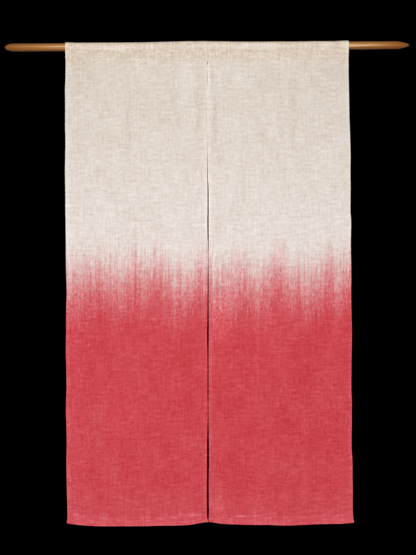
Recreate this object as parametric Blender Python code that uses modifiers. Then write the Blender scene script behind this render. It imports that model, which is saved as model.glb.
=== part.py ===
"""A noren: two lengths of dip-dyed cloth that hang side by side from a wooden rod.

Metres, +Z up. The rod lies along X with its middle at the origin, and the cloth's face
looks along -Y. Each panel is one solid: the cloth runs from its hem up the front, over
the rod and down behind it to the stitch line, where it is sewn to its own front layer.
The tables below are in millimetres.
"""

import math

import bmesh
import bpy
import numpy as np

MM = 0.001

ROD_LENGTH = 1.256
ROD_RADIUS = 0.0120
ROD_SIDES = 40

# The whittled ends of the rod: how far from the tip, and what share of the radius is left.
LEFT_TIP = [
    # from_tip, share
    (0.0, 0.00),
    (0.0, 0.22),
    (1.5, 0.38),
    (7.0, 0.62),
    (13.0, 0.84),
    (19.0, 0.95),
    (29.0, 1.00),
]
RIGHT_TIP = [
    # from_tip, share
    (0.0, 0.00),
    (0.0, 0.12),
    (1.5, 0.24),
    (8.0, 0.44),
    (17.0, 0.65),
    (29.0, 0.88),
    (36.0, 0.96),
    (44.0, 1.00),
]

CLOTH = 0.0012
HEM_CLOTH = 0.0024
SIDE_HEM = 0.0120
BOTTOM_HEM = 0.0290
HEM_STEP = 0.0012
PANEL_WIDTH = 0.4400
ROD_CLEARANCE = 0.0005

# The sleeve is sewn shut at this depth below the rod's axis, and the turned-over edge of
# the cloth ends a little lower.
SLEEVE_POINT = 0.0440
SLEEVE_END = 0.0480
HEM_START = 0.0520

BODY_ROWS = 42
BODY_COLUMNS = 16
SLEEVE_STRAIGHT_ROWS = 3
SLEEVE_ARC_ROWS = 14

# Below this level the cloth is dyed.
DYE_LEVEL = 0.7000

# How the cloth hangs, level by level below the rod's axis: the outer edges, the middle of
# the slit, how far the slit stands open (a minus sign is an overlap), and how far the right
# panel's slit edge stands in front of the left one's.
LEVELS = [
    # down, left_edge, right_edge, slit, gap, step
    (-20, -439.5, 439.5, 0.6, 0.8, 0.0),
    (48, -439.4, 439.0, 0.6, 0.8, 0.0),
    (92, -440.3, 438.8, 0.3, 0.8, 3.0),
    (128, -441.9, 439.5, -0.6, -0.8, 3.5),
    (190, -441.6, 440.2, -1.4, -0.8, 3.5),
    (245, -442.3, 441.3, -1.4, -0.8, 3.5),
    (290, -441.6, 442.6, -1.0, 0.8, 3.2),
    (345, -442.6, 443.6, -0.8, 0.9, 2.9),
    (395, -443.5, 442.8, -0.9, 1.4, 2.2),
    (445, -442.9, 443.0, 0.3, 3.2, 1.6),
    (510, -443.1, 442.0, 0.0, 3.7, 1.0),
    (550, -442.7, 443.9, -0.5, 4.1, 0.8),
    (588, -442.3, 443.1, -0.4, 3.9, 0.7),
    (612, -442.1, 442.6, -0.2, 2.0, 0.6),
    (640, -442.3, 442.5, -0.4, 1.3, 0.6),
    (675, -442.3, 443.1, -0.6, 1.5, 0.5),
    (720, -441.4, 443.3, -0.9, 2.8, 0.3),
    (760, -440.8, 442.7, -1.4, 3.3, 0.0),
    (820, -442.5, 443.0, -1.9, 4.1, 0.0),
    (850, -442.8, 443.6, -2.3, 4.9, 0.0),
    (885, -443.1, 444.4, -2.7, 5.4, 0.0),
    (925, -443.9, 443.8, -3.0, 4.6, 0.0),
    (955, -444.1, 443.1, -3.1, 3.6, 0.3),
    (1010, -443.0, 442.2, -3.1, 2.9, 0.6),
    (1050, -442.9, 441.4, -3.4, 3.2, 0.7),
    (1080, -443.8, 441.9, -3.7, 3.7, 0.8),
    (1108, -444.7, 442.8, -3.8, 2.4, 0.8),
    (1140, -445.3, 442.3, -3.9, 2.4, 0.6),
    (1165, -444.6, 442.2, -4.1, 3.1, 0.4),
    (1190, -444.0, 441.7, -4.4, 4.5, 0.2),
    (1215, -443.4, 441.1, -4.6, 5.4, 0.0),
    (1245, -444.0, 441.0, -4.8, 6.4, 0.0),
    (1300, -445.0, 443.2, -5.1, 6.4, 0.0),
    (1340, -444.5, 443.1, -5.8, 5.9, 0.0),
    (1385, -444.0, 443.5, -6.3, 6.3, 0.0),
    (1425, -443.1, 442.9, -6.2, 6.5, 0.0),
    (1452, -442.8, 443.3, -6.4, 6.6, 0.0),
    (1463, -443.2, 443.8, -6.2, 5.1, 0.0),
    (1472, -444.2, 445.0, -5.6, 2.7, 0.0),
    (1481, -445.2, 447.2, -4.9, 0.8, 0.0),
    (1500, -445.2, 446.2, -4.8, 0.8, 0.0),
]

# The lower edge of the cloth. It rises to both corners of each panel.
HEM_LINE = [
    # across, down
    (-446, 1478.9),
    (-425, 1481.8),
    (-380, 1485.7),
    (-330, 1488.1),
    (-270, 1489.0),
    (-205, 1489.9),
    (-165, 1488.2),
    (-100, 1487.0),
    (-65, 1485.3),
    (-35, 1480.7),
    (-5, 1477.2),
    (18, 1480.2),
    (40, 1483.4),
    (70, 1485.6),
    (120, 1487.1),
    (175, 1486.8),
    (238, 1488.8),
    (290, 1488.0),
    (355, 1486.4),
    (410, 1484.9),
    (430, 1483.1),
    (448, 1480.6),
]
HEM_LOWEST = max(down for _, down in HEM_LINE)

# The top of the sleeve lies on the rod, lifted off it where hems double the cloth.
TOP_LIFT = [
    # across, lift
    (-441, 1.9),
    (-405, 1.5),
    (-375, 0.2),
    (-230, 0.0),
    (-160, 0.7),
    (-105, 1.9),
    (-55, 3.0),
    (0, 3.3),
    (45, 2.4),
    (92, 0.7),
    (150, 0.1),
    (300, 0.0),
    (350, 0.6),
    (441, 1.8),
]

# Soft folds. Each runs down the cloth from one place across it to another, begins, is
# deepest and fades out at three levels, and stands forward by so much (minus is a trough).
# One that fades out below the hem still shows in it.
FOLDS = [
    # panel, top, foot, half_width, begins, deepest, fades, forward
    ("left", -345, -368, 52, 60, 1150, 2700, 4.6),
    ("left", -247, -262, 30, 60, 230, 800, -2.0),
    ("left", -232, -212, 58, 420, 1320, 2700, -5.2),
    ("left", -112, -92, 48, 80, 980, 2700, 4.2),
    ("left", -36, -30, 15, 60, 190, 500, -1.7),
    ("left", -441, -446, 26, 900, 1500, 2900, -4.5),
    ("left", -3, -5, 24, 1180, 1500, 2900, 3.0),
    ("right", 31, 27, 17, 60, 200, 520, -1.8),
    ("right", 98, 84, 46, 120, 1200, 2700, -4.4),
    ("right", 204, 226, 58, 80, 1350, 2700, 5.0),
    ("right", 272, 286, 26, 60, 215, 620, -2.1),
    ("right", 344, 334, 48, 400, 1220, 2700, -4.2),
    ("right", 440, 447, 26, 1050, 1500, 2900, 4.4),
    ("left", 1, 1, 18, 50, 200, 430, 3.2),
    ("right", 1, 1, 18, 50, 200, 430, 3.2),
]
SLIT_STEP_WIDTH = 22.0

UNDYED_LINEN = (0.75, 0.67, 0.59, 1.0)
RED_LINEN = (0.61, 0.06, 0.08, 1.0)
HONEY_WOOD = (0.42, 0.20, 0.075, 1.0)


def clear_scene():
    """Remove whatever the file starts with."""
    for thing in list(bpy.data.objects):
        bpy.data.objects.remove(thing, do_unlink=True)


def material(name, colour, roughness, metallic=0.0):
    """A plain finish of one colour."""
    finish = bpy.data.materials.new(name)
    finish.use_nodes = True
    finish.diffuse_color = colour
    shader = finish.node_tree.nodes["Principled BSDF"]
    shader.inputs["Base Color"].default_value = colour
    shader.inputs["Roughness"].default_value = roughness
    shader.inputs["Metallic"].default_value = metallic
    return finish


def column(table, index):
    """One column of a table."""
    return [row[index] for row in table]


def read(table, at, index=1):
    """A table's value at a place given by its first column."""
    return float(np.interp(at, column(table, 0), column(table, index)))


def ease(value, start, end):
    """Rises smoothly from 0 at start to 1 at end."""
    share = min(max((value - start) / (end - start), 0.0), 1.0)
    return share * share * (3.0 - 2.0 * share)


def panel_edges(side, down):
    """Where a panel's outer edge and slit edge lie at a level, in millimetres."""
    slit = read(LEVELS, down, 3)
    half_gap = 0.5 * read(LEVELS, down, 4)
    if side == "left":
        return read(LEVELS, down, 1), slit - half_gap
    return read(LEVELS, down, 2), slit + half_gap


def fold_depth(side, across, down):
    """How far the cloth stands forward at a place on it, in millimetres."""
    total = 0.0
    for panel, top, foot, half_width, begins, deepest, fades, forward in FOLDS:
        if panel != side:
            continue
        middle = top + (foot - top) * down / HEM_LOWEST
        strength = ease(down, begins, deepest) * (1.0 - ease(down, deepest, fades))
        total += forward * strength * math.exp(-(((across - middle) / half_width) ** 2))
    from_slit = (across - read(LEVELS, down, 3)) / SLIT_STEP_WIDTH
    half_step = 0.5 * read(LEVELS, down, 5) * math.exp(-(from_slit**2))
    return total + (half_step if side == "right" else -half_step)


def column_shares():
    """Where the cloth's columns lie across a panel, as shares of its width from the outer edge."""
    hem = SIDE_HEM / PANEL_WIDTH
    step = (SIDE_HEM + HEM_STEP) / PANEL_WIDTH
    inner = [step + (1.0 - 2.0 * step) * k / BODY_COLUMNS for k in range(BODY_COLUMNS + 1)]
    return [0.0, hem] + inner + [1.0 - hem, 1.0]


def cloth_rows():
    """The cloth's rows from the hem upward: on the body a share of the drop below the stitch
    line, and on the sleeve how far round it the row lies, from 0 in front to 3 behind."""
    drop = HEM_LOWEST * MM - HEM_START
    hem = 1.0 - BOTTOM_HEM / drop
    step = 1.0 - (BOTTOM_HEM + HEM_STEP) / drop
    rows = [("body", 1.0), ("body", hem)]
    rows += [("body", step * (1.0 - k / BODY_ROWS)) for k in range(BODY_ROWS + 1)]
    rows += [("end", 0.0), ("point", 0.0)]
    rows += [("sleeve", k / SLEEVE_STRAIGHT_ROWS) for k in range(1, SLEEVE_STRAIGHT_ROWS + 1)]
    rows += [("sleeve", 1.0 + k / SLEEVE_ARC_ROWS) for k in range(1, SLEEVE_ARC_ROWS + 1)]
    rows += [("sleeve", 2.0 + k / SLEEVE_STRAIGHT_ROWS) for k in range(1, SLEEVE_STRAIGHT_ROWS + 1)]
    return rows


def cloth_thickness(share, row_share):
    """The cloth's thickness on the body: doubled in the side hems and the bottom hem."""
    from_side = min(share, 1.0 - share) * PANEL_WIDTH
    from_foot = (1.0 - row_share) * (HEM_LOWEST * MM - HEM_START)
    in_side_hem = from_side < SIDE_HEM + 0.5 * HEM_STEP
    in_bottom_hem = from_foot < BOTTOM_HEM + 0.5 * HEM_STEP
    return HEM_CLOTH if in_side_hem or in_bottom_hem else CLOTH


def body_point(side, share, row_share, behind):
    """A point on the flat part of the cloth."""
    outer, inner = panel_edges(side, HEM_LOWEST)
    hem_down = read(HEM_LINE, outer + share * (inner - outer)) * MM
    down = HEM_START + row_share * (hem_down - HEM_START)
    outer, inner = panel_edges(side, down / MM)
    across = outer + share * (inner - outer)
    face = -fold_depth(side, across, down / MM) * MM - 0.5 * CLOTH
    depth = face + cloth_thickness(share, row_share) if behind else face
    return across * MM, depth, -down


def seam_point(side, share, down, behind):
    """A point on the cloth where the sleeve is sewn to it."""
    outer, inner = panel_edges(side, down / MM)
    across = (outer + share * (inner - outer)) * MM
    return across, 0.5 * CLOTH if behind else -0.5 * CLOTH, -down


def sleeve_point(side, share, way_round, inside):
    """A point on the sleeve: up the front, over the rod, and down to the seam behind it."""
    radius = ROD_RADIUS + ROD_CLEARANCE + (0.0 if inside else CLOTH)
    foot_down = SLEEVE_POINT if inside or way_round < 1.5 else SLEEVE_END
    foot_depth = 0.5 * CLOTH if inside or way_round > 1.5 else -0.5 * CLOTH
    dip = math.asin(radius / foot_down)
    if way_round <= 1.0:
        angle, along = math.pi + dip, way_round
    elif way_round <= 2.0:
        angle, along = math.pi + dip - (way_round - 1.0) * (math.pi + 2.0 * dip), 1.0
    else:
        angle, along = -dip, 3.0 - way_round
    depth = foot_depth + along * (radius * math.cos(angle) - foot_depth)
    height = -foot_down + along * (radius * math.sin(angle) + foot_down)
    outer, inner = panel_edges(side, -height / MM)
    across = outer + share * (inner - outer)
    lift = read(TOP_LIFT, across) * MM * ease(height, -0.5 * ROD_RADIUS, radius)
    return across * MM, depth, height + lift


def hang(side, share, row, behind):
    """Where a point of the flat cloth comes to lie once it hangs."""
    part, value = row
    if part == "body":
        return body_point(side, share, value, behind)
    if part == "end":
        return seam_point(side, share, SLEEVE_END, behind)
    if part == "point":
        return seam_point(side, share, SLEEVE_POINT, behind)
    return sleeve_point(side, share, value, behind)


def panel(side, undyed, dyed, collection):
    """One cloth panel: a flat grid, thickened by an extrusion, hung, and sewn at the seam."""
    shares = column_shares()
    rows = cloth_rows()
    sewn_end = [part for part, _ in rows].index("end")
    last_row = len(rows) - 1

    bm = bmesh.new()
    row_of = bm.verts.layers.int.new("row")
    column_of = bm.verts.layers.int.new("column")
    behind_of = bm.verts.layers.int.new("behind")
    bmesh.ops.create_grid(bm, x_segments=len(shares) - 1, y_segments=last_row, size=1.0)
    for index, vert in enumerate(bm.verts):
        vert[row_of] = index // len(shares)
        vert[column_of] = index % len(shares)
    copied = bmesh.ops.extrude_face_region(bm, geom=bm.faces[:], use_keep_orig=True)
    for vert in copied["geom"]:
        if isinstance(vert, bmesh.types.BMVert):
            vert[behind_of] = 1
    for vert in bm.verts:
        vert.co = hang(side, shares[vert[column_of]], rows[vert[row_of]], vert[behind_of] == 1)

    def sewn_away(face):
        rows_met = {vert[row_of] for vert in face.verts}
        faces_back = all(vert[behind_of] for vert in face.verts)
        return rows_met == {last_row} or (faces_back and rows_met == {sewn_end, sewn_end + 1})

    sewn = [face for face in bm.faces if sewn_away(face)]
    bmesh.ops.delete(bm, geom=sewn, context="FACES")
    bmesh.ops.remove_doubles(bm, verts=bm.verts[:], dist=1e-6)
    bmesh.ops.recalc_face_normals(bm, faces=bm.faces[:])
    for face in bm.faces:
        face.material_index = 1 if face.calc_center_median().z < -DYE_LEVEL else 0

    mesh = bpy.data.meshes.new(f"panel_{side}")
    bm.to_mesh(mesh)
    bm.free()
    mesh.shade_smooth()
    mesh.set_sharp_from_angle(angle=math.radians(40.0))
    mesh.materials.append(undyed)
    mesh.materials.append(dyed)
    cloth = bpy.data.objects.new(f"panel_{side}", mesh)
    collection.objects.link(cloth)
    return cloth


def rod(finish, collection):
    """The rod, turned from a profile that runs from its right tip to its left one."""
    half = 0.5 * ROD_LENGTH
    right = [(share * ROD_RADIUS, half - gone * MM) for gone, share in RIGHT_TIP]
    left = [(share * ROD_RADIUS, gone * MM - half) for gone, share in reversed(LEFT_TIP)]
    profile = right + left

    bm = bmesh.new()
    points = [bm.verts.new((radius, 0.0, along)) for radius, along in profile]
    for first, second in zip(points, points[1:]):
        bm.edges.new((first, second))
    mesh = bpy.data.meshes.new("rod")
    bm.to_mesh(mesh)
    bm.free()
    mesh.materials.append(finish)

    turned = bpy.data.objects.new("rod", mesh)
    collection.objects.link(turned)
    screw = turned.modifiers.new("turned", "SCREW")
    screw.axis = "Z"
    screw.steps = ROD_SIDES
    screw.render_steps = ROD_SIDES
    screw.use_merge_vertices = True
    screw.merge_threshold = 0.00001
    screw.use_smooth_shade = True
    turned.rotation_euler = (0.0, math.radians(90.0), 0.0)
    return turned


def main():
    """Build the curtain and hang all of it from one point, the middle of the rod."""
    clear_scene()
    parts = bpy.data.collections.new("noren_curtain")
    bpy.context.scene.collection.children.link(parts)
    hanging_point = bpy.data.objects.new("hanging_point", None)
    parts.objects.link(hanging_point)

    pieces = [rod(material("honey_wood", HONEY_WOOD, 0.45), parts)]
    for side in ("left", "right"):
        undyed = material(f"undyed_linen_{side}", UNDYED_LINEN, 0.9)
        dyed = material(f"red_linen_{side}", RED_LINEN, 0.9)
        pieces.append(panel(side, undyed, dyed, parts))
    for piece in pieces:
        piece.parent = hanging_point


main()
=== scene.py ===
"""The looks of a noren: two dip-dyed linen panels that hang side by side from a wooden rod.

Metres, +Z up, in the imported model's own frame: the rod lies along X with its middle at the
origin, and the cloth's face looks along -Y. The tables are in millimetres. A place on a
panel is given on its flat cloth: a share of its width, from the outer edge (0) to the slit
edge (1), and how far up the cloth it lies, from the foot fold over the rod to the sleeve end.
"""

from __future__ import annotations

import logging
import math
from dataclasses import dataclass, field
from enum import Enum
from typing import NamedTuple

import bmesh
import bpy
import numpy as np
from mathutils import Matrix, Vector


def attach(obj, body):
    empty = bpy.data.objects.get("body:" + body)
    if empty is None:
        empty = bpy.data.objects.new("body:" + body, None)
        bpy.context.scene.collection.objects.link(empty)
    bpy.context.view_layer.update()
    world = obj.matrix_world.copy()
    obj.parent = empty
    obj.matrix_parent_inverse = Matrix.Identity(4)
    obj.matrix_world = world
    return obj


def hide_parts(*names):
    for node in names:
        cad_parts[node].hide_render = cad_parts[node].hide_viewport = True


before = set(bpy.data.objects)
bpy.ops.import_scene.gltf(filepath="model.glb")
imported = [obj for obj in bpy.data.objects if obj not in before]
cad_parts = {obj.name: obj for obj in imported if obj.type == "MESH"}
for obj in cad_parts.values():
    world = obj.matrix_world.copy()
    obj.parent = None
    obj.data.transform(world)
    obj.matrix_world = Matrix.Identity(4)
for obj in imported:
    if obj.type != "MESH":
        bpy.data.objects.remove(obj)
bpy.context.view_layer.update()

log = logging.getLogger("noren")

MM = 0.001
FLAT_MAP = "flat_cloth"
MAP_SHIFT = 0.450

Table = list[tuple[float, ...]]
Points = np.ndarray

# How the cloth hangs, level by level below the rod's axis: the outer edges, the middle of
# the slit, how far it stands open (minus is an overlap), and how far the right slit edge
# stands in front of the left one.
LEVELS: Table = [
    # down, left_edge, right_edge, slit, gap, step
    (-20, -439.5, 439.5, 0.6, 0.4, 0.0),
    (48, -439.4, 439.0, 0.6, 0.4, 0.0),
    (64, -439.7, 439.1, 0.5, 0.5, 1.2),
    (92, -440.3, 438.8, 0.3, 0.5, 3.0),
    (118, -441.4, 439.3, -0.1, 0.5, 3.4),
    (132, -441.9, 439.6, -0.6, -0.8, 3.5),
    (190, -441.6, 440.2, -1.4, -0.8, 3.5),
    (245, -442.3, 441.3, -1.4, -0.8, 3.5),
    (290, -441.6, 442.6, -1.0, -0.2, 3.2),
    (345, -442.6, 443.6, -0.8, 0.5, 2.9),
    (395, -443.5, 442.8, -0.9, 1.5, 2.2),
    (445, -442.9, 443.0, 0.3, 3.4, 1.6),
    (510, -443.1, 442.0, 0.0, 3.8, 1.0),
    (550, -442.7, 443.9, -0.5, 4.1, 0.8),
    (588, -442.3, 443.0, -0.4, 3.9, 0.7),
    (612, -442.1, 442.6, -0.2, 2.5, 0.6),
    (640, -442.3, 442.5, -0.4, 1.8, 0.6),
    (675, -442.3, 443.1, -0.6, 2.0, 0.5),
    (720, -441.4, 443.3, -0.9, 3.1, 0.3),
    (760, -440.8, 442.7, -1.4, 3.5, 0.0),
    (820, -442.5, 443.0, -1.9, 4.1, 0.0),
    (850, -442.8, 443.6, -2.3, 4.9, 0.0),
    (885, -443.1, 444.4, -2.7, 5.6, 0.0),
    (925, -443.9, 443.8, -3.0, 4.9, 0.0),
    (955, -444.1, 443.1, -3.1, 4.0, 0.3),
    (1010, -443.0, 442.2, -3.1, 3.4, 0.6),
    (1050, -442.9, 441.4, -3.4, 3.6, 0.7),
    (1080, -443.8, 441.9, -3.7, 3.7, 0.8),
    (1108, -444.7, 442.8, -3.8, 2.4, 0.8),
    (1140, -445.3, 442.3, -3.9, 2.4, 0.6),
    (1165, -444.6, 442.2, -4.1, 3.1, 0.4),
    (1190, -444.0, 441.7, -4.4, 4.5, 0.2),
    (1215, -443.4, 441.1, -4.6, 5.4, 0.0),
    (1245, -444.0, 441.0, -4.8, 6.4, 0.0),
    (1300, -445.0, 443.2, -5.1, 6.6, 0.0),
    (1340, -444.5, 443.1, -5.9, 6.3, 0.0),
    (1385, -444.0, 443.5, -6.3, 6.4, 0.0),
    (1425, -443.1, 442.9, -6.2, 6.6, 0.0),
    (1452, -442.8, 443.3, -6.4, 6.9, 0.0),
    (1463, -443.2, 443.8, -6.2, 5.2, 0.0),
    (1472, -444.2, 445.0, -5.6, 2.7, 0.0),
    (1481, -445.2, 447.2, -4.9, 0.8, 0.0),
    (1500, -445.2, 446.2, -4.8, 0.8, 0.0),
]

# The lower edge of the cloth. It rises to both corners of each panel.
HEM_LINE: Table = [
    # across, down
    (-446, 1478.9), (-425, 1481.8), (-380, 1485.7), (-330, 1488.1), (-270, 1489.0), (-205, 1489.9),
    (-165, 1488.2), (-100, 1487.0), (-65, 1485.3), (-35, 1480.7), (-5, 1477.2), (18, 1480.2),
    (40, 1483.4), (70, 1485.6), (120, 1487.1), (175, 1486.8), (238, 1488.8), (290, 1488.0),
    (355, 1486.4), (410, 1484.9), (430, 1483.1), (448, 1480.6),
]
HEM_LOWEST = max(row[1] for row in HEM_LINE)

# How far the top of the sleeve stands off the rod, besides what its doubled hems take up.
TOP_LIFT: Table = [
    # across, lift
    (-441, 0.0), (-405, 0.1), (-375, 0.0), (-230, 0.0), (-160, 0.6), (-105, 1.8), (-55, 2.6),
    (-12, 1.4), (12, 0.6), (45, 1.6), (92, 0.7), (150, 0.1), (300, 0.0), (441, 0.0),
]

# The whittled ends of the rod: how far from the tip, and what share of the radius is left.
LEFT_TIP: Table = [
    # from_tip, share
    (0.0, 0.22), (1.5, 0.38), (7.0, 0.62), (13.0, 0.84), (19.0, 0.95), (29.0, 1.00),
]
RIGHT_TIP: Table = [
    # from_tip, share
    (0.0, 0.12), (1.5, 0.24), (8.0, 0.44), (17.0, 0.65), (29.0, 0.88), (36.0, 0.96), (44.0, 1.00),
]

# How far the bleed climbs above its mean line (minus is below it), given at the
# main streaks. The dye wicked up the bundles of yarn that stood there.
LEFT_BLEED: Table = [
    # across, rise
    (-443, -18), (-432, -18), (-420, -18), (-408, -9), (-396, 2), (-383, 9), (-371, 1), (-352, 1),
    (-336, 13), (-322, -6), (-290, -3), (-262, -4), (-238, 7), (-226, 38), (-217, 0), (-203, 4),
    (-188, 0), (-167, 13), (-155, 9), (-146, 8), (-130, -5), (-110, -26), (-88, -17), (-66, -22),
    (-46, -16), (-34, 8), (-24, -14), (-5, 4),
]
RIGHT_BLEED: Table = [
    # across, rise
    (5, -10), (24, -28), (52, -22), (78, -14), (95, -4), (106, -2), (120, -7), (138, -25), (156, -28),
    (169, -16), (182, -15), (196, 0), (209, 25), (232, 21), (244, -2), (258, -26), (270, -14),
    (281, 11), (292, -28), (312, -17), (338, -9), (356, 1), (370, 10), (381, 16), (391, -14), (408, -2),
    (430, 7), (443, 14),
]


class Side(Enum):
    """Which half of the curtain a piece belongs to, as seen from the front."""

    LEFT = "left"
    RIGHT = "right"


class Surface(Enum):
    """The two surfaces of a cloth."""

    FACE = "face"
    BACK = "back"


class Fold(NamedTuple):
    """A soft fold that runs down a panel, in millimetres. Minus forward is a trough."""

    top: float
    foot: float
    half_width: float
    begins: float
    deepest: float
    fades: float
    forward: float


class Patch(NamedTuple):
    """A soft patch or streak, in millimetres: painted fold light and shade, a few worn places. Minus is
    darker.
    """

    across: float
    down: float
    half_across: float
    half_down: float
    lighter: float


class Crease(NamedTuple):
    """A small crease from one place on a panel to another, in millimetres."""

    across_from: float
    down_from: float
    across_to: float
    down_to: float
    half_width: float
    forward: float


# The folds, creases and patches of each panel.
FOLDS: dict[Side, list[Fold]] = {
    # top, foot, half_width, begins, deepest, fades, forward
    Side.LEFT: [
        Fold(-345, -368, 52, 60, 1150, 2700, 4.6),
        Fold(-247, -262, 30, 60, 230, 800, -2.0),
        Fold(-232, -212, 58, 420, 1320, 2700, -5.2),
        Fold(-112, -92, 48, 80, 980, 2700, 4.2),
        Fold(-36, -30, 15, 60, 190, 500, -1.7),
        Fold(-441, -446, 26, 900, 1500, 2900, -4.5),
        Fold(-3, -5, 24, 1180, 1500, 2900, 3.0),
        Fold(1, 1, 18, 50, 200, 430, 3.2),
    ],
    Side.RIGHT: [
        Fold(31, 27, 17, 60, 200, 520, -1.8),
        Fold(98, 84, 46, 120, 1200, 2700, -4.4),
        Fold(204, 226, 58, 80, 1350, 2700, 5.0),
        Fold(272, 286, 26, 60, 215, 620, -2.1),
        Fold(344, 334, 48, 400, 1220, 2700, -4.2),
        Fold(440, 447, 26, 1050, 1500, 2900, 4.4),
        Fold(1, 1, 18, 50, 200, 430, 3.2),
    ],
}

CREASES: dict[Side, list[Crease]] = {
    # across_from, down_from, across_to, down_to, half_width, forward
    Side.LEFT: [
        Crease(-246, 70, -243, 400, 7, -0.7),
        Crease(-38, 90, -30, 300, 5, -0.8),
        Crease(-160, 62, -176, 210, 9, 0.6),
        Crease(-396, 1390, -352, 1486, 10, -1.3),
        Crease(-330, 1420, -302, 1488, 9, 0.9),
        Crease(-66, 1400, -26, 1478, 9, -1.0),
        Crease(-420, 240, -300, 560, 14, -0.8),
        Crease(-380, 980, -250, 1130, 12, 0.7),
    ],
    Side.RIGHT: [
        Crease(31, 110, 26, 330, 5, -0.9),
        Crease(113, 330, 110, 470, 5, -0.7),
        Crease(268, 150, 276, 330, 6, -0.8),
        Crease(160, 64, 178, 190, 9, 0.6),
        Crease(30, 1405, 68, 1482, 10, 1.1),
        Crease(402, 1380, 352, 1484, 11, -1.2),
        Crease(168, 1060, 176, 1260, 7, -0.7),
        Crease(300, 700, 410, 930, 14, -0.8),
    ],
}

# Mostly painted light and shade of the soft folds and the heading; the rows at about 1440 to 1460 down are
# worn places at the foot.
PAINTED_SHADING_AND_WEAR: dict[Side, list[Patch]] = {
    # across, down, half_across, half_down, lighter
    Side.LEFT: [
        Patch(-412, -2, 30, 22, -0.050),
        Patch(-357, 12, 26, 7, -0.070),
        Patch(-208, 14, 24, 28, -0.050),
        Patch(-415, 60, 60, 40, -0.040),
        Patch(-265, 4, 150, 6, 0.080),
        Patch(-246, 190, 11, 200, -0.030),
        Patch(-31, 175, 9, 120, -0.020),
        Patch(-31, 212, 8, 62, -0.048),
        Patch(-62, 130, 34, 130, 0.034),
        Patch(-416, 1170, 36, 440, 0.050),
        Patch(-283, 1120, 60, 90, 0.040),
        Patch(-4, 520, 4, 110, 0.050),
        Patch(-20, 810, 24, 80, -0.025),
        Patch(-235, 1330, 215, 230, 0.014),
        Patch(-62, 930, 34, 70, -0.040),
        Patch(-406, 1459, 22, 7, 0.130),
        Patch(-68, 1457, 36, 5, 0.120),
    ],
    Side.RIGHT: [
        Patch(160, 3, 130, 8, 0.075),
        Patch(400, 60, 60, 40, -0.030),
        Patch(6, 92, 5, 40, 0.055),
        Patch(15, 92, 6, 40, -0.045),
        Patch(4, 205, 16, 110, 0.055),
        Patch(31, 175, 9, 120, -0.018),
        Patch(28, 240, 7, 60, -0.040),
        Patch(90, 230, 60, 160, 0.022),
        Patch(111, 400, 9, 120, -0.045),
        Patch(5, 520, 4, 110, 0.070),
        Patch(266, 225, 11, 170, -0.030),
        Patch(20, 570, 26, 60, -0.030),
        Patch(11, 950, 11, 160, 0.045),
        Patch(42, 865, 38, 90, 0.080),
        Patch(116, 1298, 2.6, 34, -0.070),
        Patch(119, 1350, 2.6, 34, -0.060),
        Patch(335, 1000, 100, 100, -0.018),
        Patch(210, 1120, 80, 100, -0.020),
        Patch(26, 1440, 24, 22, 0.085),
    ],
}


def read(table: Table, at: Points, column: int = 1) -> Points:
    """Read a table along a smooth curve that doesn't overshoot its rows.

    Args:
        table: Rows in the order of their first column.
        at: Where to read it, in the units of the first column.
        column: Which column to read.

    Returns:
        One value for each place.
    """
    places = np.array([row[0] for row in table], float)
    values = np.array([row[column] for row in table], float)
    step = np.diff(places)
    rise = np.diff(values) / step
    slope = np.zeros_like(values)
    before, after = rise[:-1], rise[1:]
    same_way = before * after > 0
    slope[1:-1][same_way] = (2 * before * after / (before + after + 1e-12))[same_way]
    slope[0], slope[-1] = rise[0], rise[-1]
    at = np.clip(at, places[0], places[-1])
    row = np.clip(np.searchsorted(places, at, side="right") - 1, 0, len(step) - 1)
    share = (at - places[row]) / step[row]
    rest = 1.0 - share
    from_values = values[row] * (1 + 2 * share) * rest**2 + values[row + 1] * (3 - 2 * share) * share**2
    from_slopes = slope[row] * share * rest**2 - slope[row + 1] * share**2 * rest
    return from_values + step[row] * from_slopes


def ease(value: Points, start: float, end: float) -> Points:
    """Rise smoothly from 0 to 1.

    Args:
        value: The numbers to ease.
        start: Where the result leaves 0.
        end: Where the result reaches 1.

    Returns:
        One number from 0 to 1 for each value.
    """
    share = np.clip((value - start) / (end - start), 0.0, 1.0)
    return share * share * (3.0 - 2.0 * share)


def hump(distance: Points, half_width: float) -> Points:
    """A soft hump: 1 in the middle, and nearly 0 at twice the half width."""
    return np.exp(-((distance / half_width) ** 2))


# Shader expressions


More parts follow.
